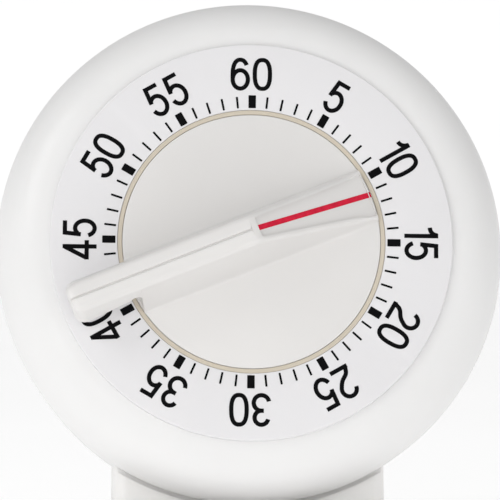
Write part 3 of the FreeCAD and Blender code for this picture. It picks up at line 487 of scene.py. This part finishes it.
def rear_cover():
    """The drum behind the front casing, with a rounded back corner and sound slots."""
    outer = softened([
        (0, -COVER_DEEP), (COVER_RAD, -COVER_DEEP, 5.5), (HEAD_RAD - 1, -JOINT_DEEP - 0.02, 0.3),
        (HEAD_RAD - 1 - WALL, -JOINT_DEEP - 0.02), (COVER_RAD - WALL, -COVER_DEEP + WALL, 3.3),
        (0, -COVER_DEEP + WALL),
    ], steps=12, closed=False)
    shell = lathe("rear_cover_shell", outer)
    bosses = [rod(3.8, -COVER_DEEP + 0.5, -JOINT_DEEP, spot) for spot in CASING_SPOTS]
    bosses += [rod(BOSS_RAD, -COVER_DEEP + 1, -COVER_DEEP + 8.5, spot) for spot in NECK_SPOTS]
    shell = boolean(shell, joined("cover_bosses", bosses), "UNION")
    cuts = [lathe("sink", softened([
        (0, -COVER_DEEP - 1), (SINK_RAD, -COVER_DEEP - 1), (SINK_RAD, -COVER_DEEP + 3),
        (CLEAR_RAD, -COVER_DEEP + 3), (CLEAR_RAD, -JOINT_DEEP + 1), (0, -JOINT_DEEP + 1),
    ], closed=False), centre=spot, segments=64) for spot in CASING_SPOTS]
    cuts += [rod(PILOT_RAD, -COVER_DEEP - 1, -COVER_DEEP + 7, spot) for spot in NECK_SPOTS]
    for number in range(SLOTS):
        middle = SLOT_STEP * (number - (SLOTS - 1) // 2)
        outline = softened([
            (middle - SLOT_HALF, SLOT_LOW, SLOT_ROUND), (middle + SLOT_HALF, SLOT_LOW, SLOT_ROUND),
            (middle + SLOT_HALF, SLOT_HIGH, SLOT_ROUND), (middle - SLOT_HALF, SLOT_HIGH, SLOT_ROUND),
        ])
        cuts.append(prism(f"slot_{number}", outline, -COVER_DEEP - 1, -COVER_DEEP + WALL + 1))
    return boolean(shell, joined("cover_cuts", cuts), "DIFFERENCE")


def screws(name, spots, tip, seat, high, place=DIAL):
    """Pan-head screws pointing to +z, each with a cross recess in its head."""
    pieces = []
    slots = []
    for number, (x, y) in enumerate(spots):
        pieces.append(lathe(f"{name}_{number}", softened([
            (0, seat - high), (SCREW_HEAD, seat - high, 0.9), (SCREW_HEAD, seat, 0.15),
            (SCREW_RAD, seat), (SCREW_RAD, tip - 0.8), (0.3, tip), (0, tip),
        ], closed=False), place, (x, y), 64))
        turn = Matrix.Translation((x, y, 0)) @ Matrix.Rotation(0.4 + 1.1 * number, 4, "Z")
        for side in (0, 1):
            spin = place @ turn @ Matrix.Rotation(side * math.pi / 2, 4, "Z")
            slots.append(prism(f"recess_{number}_{side}", softened([
                (-RECESS_REACH, -RECESS_HALF, 0.1), (RECESS_REACH, -RECESS_HALF, 0.1),
                (RECESS_REACH, RECESS_HALF, 0.1), (-RECESS_REACH, RECESS_HALF, 0.1)], 2),
                seat - high - 0.5, seat - high + 1.0 + 0.02 * side, spin))
    heads = joined(name, pieces)
    for slot in slots:
        heads = boolean(heads, slot, "DIFFERENCE")
    return heads


# ---------------------------------------------------------------- the dial

DIAL_HOLE = 26.86
INK_HIGH = 0.035
DIAL_SLIP = math.radians(0.7)
TICK_SLIP = math.radians(0.75)
RING_BORE = 24.2
SEAT_BORE = 25.93
SEAT_TOP = -0.12
SEAT_FLOOR = -3.0
BLOCK_HALF = 0.75
BLOCK_SPAN = (27.22, 29.87)
TICK_HALF = 0.21
TICK_SPAN = (27.27, 29.65)


def dial_plate():
    """The dial's ring, with a soft outer lip and a crisp inner edge."""
    return lathe("dial_face", softened([
        (DIAL_HOLE, -DIAL_THICK), (DIAL_RAD, -DIAL_THICK), (DIAL_RAD, 0, 0.3), (DIAL_HOLE, 0, 0.06),
    ]))


def glide_ring():
    """The ring that the knob's disc runs on: a flat floor and an upstand round the disc. Its beige is
    painted shade for the shaded gap round the disc.
    """
    return lathe("glide_ring", softened([
        (RING_BORE, -WELL_DEEP), (RING_RAD, -WELL_DEEP), (RING_RAD, SEAT_TOP, 0.1),
        (SEAT_BORE, SEAT_TOP, 0.1), (SEAT_BORE, SEAT_FLOOR, 0.1), (RING_BORE, SEAT_FLOOR),
    ]))


def dial_ticks():
    """Sixty minute ticks; every fifth is a block."""
    bars = []
    for minute in range(60):
        block = minute % 5 == 0
        half = BLOCK_HALF if block else TICK_HALF
        low, high = BLOCK_SPAN if block else TICK_SPAN
        angle = math.pi / 2 - minute * math.pi / 30 - TICK_SLIP
        turn = DIAL @ Matrix.Rotation(angle, 4, "Z")
        corners = [(low, -half, 0.1), (high, -half, 0.1), (high, half, 0.1), (low, half, 0.1)]
        bars.append(prism(f"tick_{minute}", softened(corners, 2), 0.0, INK_HIGH, turn))
    return joined("dial_ticks", bars)


STROKE = 0.86
HALF_WIDE = 1.53
HALF_HIGH = 2.97
NUMERAL_STEP = 4.45
SLIM_STEP = 3.6
SLIM_SHIFT = 0.25
NUMERAL_RAD = 34.2
NUMERAL_SHIFT = -0.17


def squircle(wide, high, start, stop, steps=40, power=2.5, centre=(0, 0)):
    """Part of a superellipse, angles in degrees, for the round strokes of the numerals."""
    line = []
    for step in range(steps + 1):
        angle = math.radians(start + (stop - start) * step / steps)
        x, y = math.cos(angle), math.sin(angle)
        line.append((centre[0] + wide * math.copysign(abs(x) ** (2 / power), x),
                     centre[1] + high * math.copysign(abs(y) ** (2 / power), y)))
    return line


def digit_strokes(digit):
    """Centre lines of a numeral's strokes, about the middle of its body."""
    wide, high = HALF_WIDE, HALF_HIGH
    if digit == "0":
        return [squircle(wide, high, 0, 360, 56)]
    if digit == "1":
        return [[(0.62, -high - STROKE / 2), (0.62, high + STROKE / 2)],
                softened([(-1.1, 1.72), (0.1, 1.84, 1.5), (0.52, high + 0.3)], 8, False)]
    if digit == "2":
        top = arc_line((0, 1.42), (wide - 0.05, high - 1.42), 172, -28, 30)
        foot = softened([top[-1], (0.55, -0.55, 3), (-1.05, -1.55, 1.6), (-wide + 0.02, -high)], 8,
                        False)
        return [top + foot[1:], [(-wide - 0.4, -high), (wide + 0.35, -high)]]
    if digit == "3":
        return [arc_line((-0.02, 1.56), (wide - 0.17, high - 1.56), 168, -88, 34)
                + [(-0.5, 0.14)],
                [(-0.5, 0.14)] + arc_line((-0.02, -1.42), (wide, 1.56), 88, -168, 34)]
    if digit == "4":
        return [[(0.72, -high - STROKE / 2), (0.72, high + STROKE / 2)],
                [(0.62, high), (-wide - 0.05, -1.35)],
                [(-wide - 0.4, -1.42), (wide + 0.45, -1.42)]]
    if digit == "5":
        return [[(wide - 0.02, high), (-0.98, high)],
                [(-0.92, high + 0.42), (-1.28, -0.22)],
                arc_line((-0.02, -1.02), (wide, high - 1.02), 148, -160, 40)]
    return [squircle(wide, high, 36, 180, 26, 2.3),
            [(-wide, 0.1), (-wide, -1.1)],
            arc_line((0, -1.08), (wide, high - 1.08), 0, 360, 52)]


def ribbon(name, line, width, low, high, place):
    """A stroke of even width along a line, given thickness; a closed line gives a closed band."""
    closed = (Vector(line[0]) - Vector(line[-1])).length < 1e-4
    spots = [Vector(point) for point in (line[:-1] if closed else line)]
    count = len(spots)
    left, right = [], []
    for number, spot in enumerate(spots):
        before = spots[number - 1] if number or closed else spot
        after = spots[(number + 1) % count] if number < count - 1 or closed else spot
        way_in = (spot - before).normalized() if before is not spot else None
        way_out = (after - spot).normalized() if after is not spot else None
        way = ((way_in or way_out) + (way_out or way_in)).normalized()
        side = Vector((-way.y, way.x))
        flat = way_in or way_out
        spread = width / 2 / max(0.5, side.dot(Vector((-flat.y, flat.x))))
        left.append(spot + side * spread)
        right.append(spot - side * spread)
    points = [(*spot, depth) for depth in (low, high) for spot in left + right]
    faces = []
    for number in range(count if closed else count - 1):
        after = (number + 1) % count
        a, b, c, d = number, after, after + count, number + count
        top = 2 * count
        faces += [[a, b, c, d], [a + top, b + top, c + top, d + top],
                  [a, b, b + top, a + top], [d, c, c + top, d + top]]
    if not closed:
        last = count - 1
        for end in (0, last):
            faces.append([end, end + count, end + 3 * count, end + 2 * count])
    return mesh_object(name, points, faces, place)


def dial_numerals():
    """The minutes 60, 5, 10 ... 55, each with its foot towards the middle of the dial."""
    strokes = []
    for minute in range(5, 65, 5):
        text = str(minute)
        angle = -minute * math.pi / 30 - DIAL_SLIP
        for place, digit in enumerate(text):
            slim = text[0] == "1"
            step = SLIM_STEP if slim else NUMERAL_STEP
            across = (place - (len(text) - 1) / 2) * step - (SLIM_SHIFT if slim else 0)
            spot = (DIAL @ Matrix.Translation((NUMERAL_SHIFT, 0, 0))
                    @ Matrix.Rotation(angle, 4, "Z")
                    @ Matrix.Translation((across, NUMERAL_RAD, 0)))
            for order, line in enumerate(digit_strokes(digit)):
                lift = INK_HIGH + 0.004 * order
                strokes.append(ribbon(f"stroke_{minute}_{place}_{order}", line, STROKE, 0.0, lift,
                                      spot))
    return joined("dial_numerals", strokes)


# ---------------------------------------------------------------- the knob

DISC_RAD = 25.85
GRIP_HIGH = 13.0
GRIP_TOP = 3.2
DRAFT = 0.184
TAIL_REACH = 39.0
TAIL_RISE = 8.8
TAIL_DROP = 5.4
RAMP_LOW = 0.9
RAMP_SLOPE = (GRIP_HIGH - RAMP_LOW) / DISC_RAD
PANEL_START = 0.9
PANEL_DEEP = 0.6
RIM_WIDE = 0.9
SUNK = -0.7
BEND = 0.7
CREASE_HALF = 0.2
CREASE_DEEP = 0.4
SHAFT_RAD = 2.25
SHAFT_FLAT = 1.55
BORE_SPAN = (-7.6, 5.3)
HUB_RAD = 4.8
CLIP_RAD = 4.2
HUB_DEEP = 6.6
DISC_THICK = 2.5
RIB_REACH = (21, 24)
RIB_HALF = 0.35
RIB_SPAN = (-3.25, -2.3)
LINE_HALF = 0.55
LINE_LIFT = 0.06


def grip_height(u):
    """Height of the grip's top: level over the tail, then down the ramp, with a soft bend."""
    if u < -BEND:
        return GRIP_HIGH
    if u < BEND:
        return GRIP_HIGH - RAMP_SLOPE * (u + BEND) ** 2 / (4 * BEND)
    return GRIP_HIGH - RAMP_SLOPE * u


def recess(u):
    """Half width and depth of the groove in the tail or of the ramp's sunk panel."""
    if u < -0.45:
        return CREASE_HALF, CREASE_DEEP
    half = GRIP_TOP + (GRIP_HIGH - grip_height(u)) * DRAFT - RIM_WIDE
    if u < PANEL_START:
        return max(CREASE_HALF, half - 1), 0
    along = min(1, u - PANEL_START)
    return half - 1 + math.sqrt(1 - (1 - along) ** 2), PANEL_DEEP


def half_section(u, bottom, on_disc, inset_wide=0.0, inset_high=0.0):
    """Right half of the grip's section, from the middle of its top to the middle of its foot."""
    top = grip_height(u) - inset_high
    bottom += inset_high
    half = GRIP_TOP + (GRIP_HIGH - grip_height(u)) * DRAFT
    sunk_half, sunk = recess(u)
    lip = min(0.12, sunk_half / 3)
    line = [(0, top - sunk), (sunk_half - 2 * lip, top - sunk), (sunk_half - lip, top - sunk + lip / 3),
            (sunk_half, top - sunk * 0.25), (sunk_half + lip, top)]
    if sunk == 0:
        line = [(v, top) for v, z in line]
    corner = min(1.2, top * 0.4)
    lean = math.atan(DRAFT)
    for step in range(7):
        angle = math.pi / 2 + (lean - math.pi / 2) * step / 6
        line.append((half - corner + corner * math.cos(angle),
                     top - corner + corner * math.sin(angle)))

    def side(z):
        return half + (top - z) * DRAFT

    if on_disc:
        turn = min(1.1, top * 0.55, 0.3 + 0.4 * max(0, u + DISC_RAD - 0.5))
        middle = side(turn) + turn * math.cos(lean)
        line.append(((line[-1][0] + side(turn)) / 2, (line[-1][1] + turn) / 2))
        for step in range(7):
            angle = lean + (math.pi / 2 - lean) * step / 6
            line.append((middle - turn * math.cos(angle), turn - turn * math.sin(angle) - 0.03))
        line.append((middle, SUNK))
    else:
        turn = 0.8
        line.append(((line[-1][0] + side(bottom + turn)) / 2, (line[-1][1] + bottom + turn) / 2))
        for step in range(7):
            angle = lean - (math.pi / 2 + lean) * step / 6
            line.append((side(bottom + turn) - turn + turn * math.cos(angle),
                         bottom + turn + turn * math.sin(angle)))
        line.append((side(bottom + turn) * 0.5, bottom))
    line.append((0, SUNK if on_disc else bottom))
    if inset_wide:
        wide = side(bottom)
        line = [(v * (wide - inset_wide) / wide, z) for v, z in line]
    return line


def tail_under(u, wall):
    """Height of the tail's underside, which rises from its end to the disc's edge."""
    return TAIL_DROP + (TAIL_RISE - TAIL_DROP) * (u + TAIL_REACH) / (TAIL_REACH + wall)


def grip_stations():
    """(u, underside, on the disc, insets) along the grip, from the tail's end to the disc's rim."""
    stations = []
    for gap in (0.0, 0.06, 0.18, 0.36, 0.6, 0.95, 1.4, 1.9, 2.4):
        wide = 2.4 - math.sqrt(max(0, 2.4 ** 2 - (2.4 - gap) ** 2))
        high = 0.9 - math.sqrt(0.9 ** 2 - max(0, 0.9 - gap) ** 2)
        stations.append((gap - TAIL_REACH, wide, high))
    wall = -DISC_RAD + 0.5
    rows = [(u, tail_under(u, wall), False, wide, high) for u, wide, high in stations]
    u = -35.5
    while u < wall - 2.1:
        rows.append((u, tail_under(u, wall), False, 0, 0))
        u += 1.1
    for step in range(9):
        angle = math.pi / 2 * step / 8
        rows.append((wall - 1.8 + 1.8 * math.sin(angle), TAIL_RISE - 1.8 + 1.8 * math.cos(angle),
                     False, 0, 0))
    rows.append((wall + 0.02, 2.0, False, 0, 0))
    rows.append((wall + 0.04, SUNK, True, 0, 0))
    places = [wall + 0.5 + 1.2 * step for step in range(20)]
    places += [-0.7, -0.5, -0.4, -0.2, 0.1, 0.4, 0.7, 0.88, 0.91, 0.96, 1.05, 1.2, 1.4, 1.65, 1.9]
    places += [2.4 + 1.17 * step for step in range(20)] + [DISC_RAD - 0.04]
    rows += [(u, SUNK, True, 0, 0) for u in places if u < DISC_RAD]
    return rows


def grip():
    """The grip as a closed skin over its sections."""
    points = []
    rows = grip_stations()
    for u, bottom, on_disc, wide, high in rows:
        right = half_section(u, bottom, on_disc, wide, high)
        loop = right + [(-v, z) for v, z in reversed(right[1:-1])]
        for v, z in loop:
            along = u * math.sqrt(1 - (v / DISC_RAD) ** 2) if u > 0 else u
            points.append((along, v, z))
    size = len(points) // len(rows)
    faces = loft_faces(len(rows), size)
    for row in (0, len(rows) - 1):
        start = row * size
        for step in range(size // 2):
            mirror = (size - step) % size
            before = (size - step - 1) % size
            corners = dict.fromkeys([start + step, start + step + 1, start + before, start + mirror])
            if len(corners) > 2:
                faces.append(list(corners))
    return mesh_object("grip", points, faces, KNOB)


def arbor_bore():
    """The blind hole for the main arbor's end, with its flat towards the pointer."""
    turn = math.acos(SHAFT_FLAT / SHAFT_RAD)
    outline = [(SHAFT_RAD * math.cos(angle), SHAFT_RAD * math.sin(angle))
               for angle in [turn + (math.tau - 2 * turn) * step / 40 for step in range(41)]]
    return prism("bore", outline, *BORE_SPAN, KNOB)


def knob():
    """Disc, hub and grip as one skin, with the stop rib and the bore for the arbor."""
    disc = lathe("knob_body", softened([
        (0, -HUB_DEEP), (HUB_RAD, -HUB_DEEP), (HUB_RAD, -6.3), (CLIP_RAD, -6.3), (CLIP_RAD, -5.7),
        (HUB_RAD, -5.7), (HUB_RAD, -DISC_THICK), (DISC_RAD, -DISC_THICK, 0.2), (DISC_RAD, 0, 0.22),
        (0, 0),
    ], closed=False))
    body = boolean(disc, grip(), "UNION", 38)
    near, far = RIB_REACH
    rib = prism("rib", [(near, -RIB_HALF), (far, -RIB_HALF), (far, RIB_HALF), (near, RIB_HALF)],
                *RIB_SPAN, KNOB)
    body = boolean(body, rib, "UNION", 38)
    return boolean(body, arbor_bore(), "DIFFERENCE", 38)


def pointer_line():
    """The hot-stamped red line on the floor of the ramp's panel."""
    start, stop = PANEL_START + 0.05, DISC_RAD - 0.1
    points = []
    outline = softened([(-LINE_HALF, -0.05), (LINE_HALF, -0.05), (LINE_HALF, LINE_LIFT, 0.04),
                        (-LINE_HALF, LINE_LIFT, 0.04)], 3)
    rows = 12
    for row in range(rows + 1):
        u = start + (stop - start) * row / rows
        floor = GRIP_HIGH - RAMP_SLOPE * u - PANEL_DEEP
        points += [(u, v, floor + z) for v, z in outline]
    size = len(outline)
    faces = loft_faces(rows + 1, size)
    faces.append(list(range(size)))
    faces.append(list(range(rows * size, rows * size + size)))
    return mesh_object("pointer_stripe", points, faces, KNOB)


# ---------------------------------------------------------------- put the pieces in place

dress_nodes()
place_piece(front_casing(), "case", "front_casing", material=CASING, slot="casing_white")
place_piece(rear_cover(), "case", "rear_cover", material=CASING, slot="casing_white")
place_piece(screws("cover_screws", CASING_SPOTS, -9, -COVER_DEEP + 3, 1.9), "case",
            "casing_screws", material=STEEL, slot="steel")
place_piece(screws("neck_screws", NECK_SPOTS, -32, -COVER_DEEP - WALL - 0.1, 1.8), "case",
            "pedestal_screws", material=STEEL, slot="steel")
place_piece(screws("foot_screws", BASE_SPOTS, 9, 3.4, 1.7, ROW), "case",
            "base_screws", material=STEEL, slot="steel")
place_piece(dial_plate(), "case", "dial_plate", material=DIAL_FACE, slot="dial_white")
place_piece(glide_ring(), "case", "knob_seat_ring", material=RING_GAP_SHADE, slot="ring_beige")
place_piece(dial_ticks(), "case", material=INK)
place_piece(dial_numerals(), "case", material=INK)
place_piece(knob(), "knob", "knob", material=KNOB_SKIN, slot="knob_white")
place_piece(pointer_line(), "knob", "pointer_line", material=RED, slot="pointer_red")


# ---------------------------------------------------------------- floor, light and camera

TABLE_GLOW = 0.4
ROOM_HORIZON = 1.02
ROOM_TOP = 0.52
KEY_POWER = 2.4
FILL_POWER = 3.2
TABLE_POWER = 0.04
CAMERA_AWAY = 1.0
CAMERA_YAW = math.radians(2.6)
CAMERA_AIM = (0.00022, -0.0082, 0.0577)
SENSOR_WIDE = 36
VIEW_WIDE = 0.1012


def floor():
    """A wide, flat light table: pale, matt, and softly lit from below."""
    points = [(-6, -4, 0), (6, -4, 0), (6, 9, 0), (-6, 9, 0)]
    ground = mesh_object("floor", points, [[0, 1, 2, 3]], Matrix.Identity(4))
    material, body, nodes, links = shader("floor_acrylic")
    field = noise(nodes, links, 3, 2)
    tint = two_colours(nodes, links, ramp(nodes, links, field, 0, 1), (0.91, 0.91, 0.91),
                       (0.93, 0.93, 0.93))
    links.new(tint, body.inputs["Base Color"])
    links.new(ramp(nodes, links, field, 0.7, 0.8), body.inputs["Roughness"])
    links.new(ramp(nodes, links, field, TABLE_GLOW, TABLE_GLOW * 1.02),
              body.inputs["Emission Strength"])
    body.inputs["Emission Color"].default_value = (1, 1, 1, 1)
    ground.data.materials.append(material)


def area_light(name, spot, aim, size, power, spread=180):
    """A soft rectangular lamp at a spot, turned towards a point."""
    light = bpy.data.lights.new(name, "AREA")
    light.shape = "RECTANGLE"
    light.size, light.size_y = size
    light.energy = power
    light.spread = math.radians(spread)
    lamp = bpy.data.objects.new(name, light)
    lamp.location = spot
    lamp.rotation_euler = (Vector(aim) - Vector(spot)).to_track_quat("-Z", "Y").to_euler()
    bpy.context.scene.collection.objects.link(lamp)


def light_room():
    """A white room, brighter at the horizon, with a key, a fill and a small lamp on the table."""
    world = bpy.data.worlds.new("studio")
    world.use_nodes = True
    nodes, links = world.node_tree.nodes, world.node_tree.links
    place = nodes.new("ShaderNodeTexCoord")
    split = nodes.new("ShaderNodeSeparateXYZ")
    links.new(place.outputs["Generated"], split.inputs["Vector"])
    level = ramp(nodes, links, split.outputs["Z"], ROOM_HORIZON, ROOM_TOP, 0.04, 0.4)
    links.new(level, nodes["Background"].inputs["Strength"])
    nodes["Background"].inputs["Color"].default_value = (1, 1, 1, 1)
    bpy.context.scene.world = world
    area_light("key", (-0.8, -0.7, 0.75), (0, 0, 0.06), (0.6, 0.5), KEY_POWER)
    area_light("table_wash", (0, -0.22, 0.5), (0, -0.22, 0), (0.12, 0.12), TABLE_POWER, 36)
    area_light("fill", (-0.3, -1.6, 0.35), (0, 0, 0.06), (0.9, 0.5), FILL_POWER)
    bpy.context.scene.view_settings.view_transform = "Standard"


def camera():
    """A long lens, level with the head, a little to the left of the timer's middle."""
    aim = Vector(CAMERA_AIM)
    data = bpy.data.cameras.new("camera")
    data.sensor_width = SENSOR_WIDE
    data.lens = SENSOR_WIDE * CAMERA_AWAY / VIEW_WIDE
    data.clip_start = 0.01
    data.clip_end = 20
    eye = bpy.data.objects.new("camera", data)
    eye.location = aim + CAMERA_AWAY * Vector((-math.sin(CAMERA_YAW), -math.cos(CAMERA_YAW), 0))
    eye.rotation_euler = (aim - eye.location).to_track_quat("-Z", "Y").to_euler()
    bpy.context.scene.collection.objects.link(eye)
    bpy.context.scene.camera = eye


floor()
light_room()
camera()
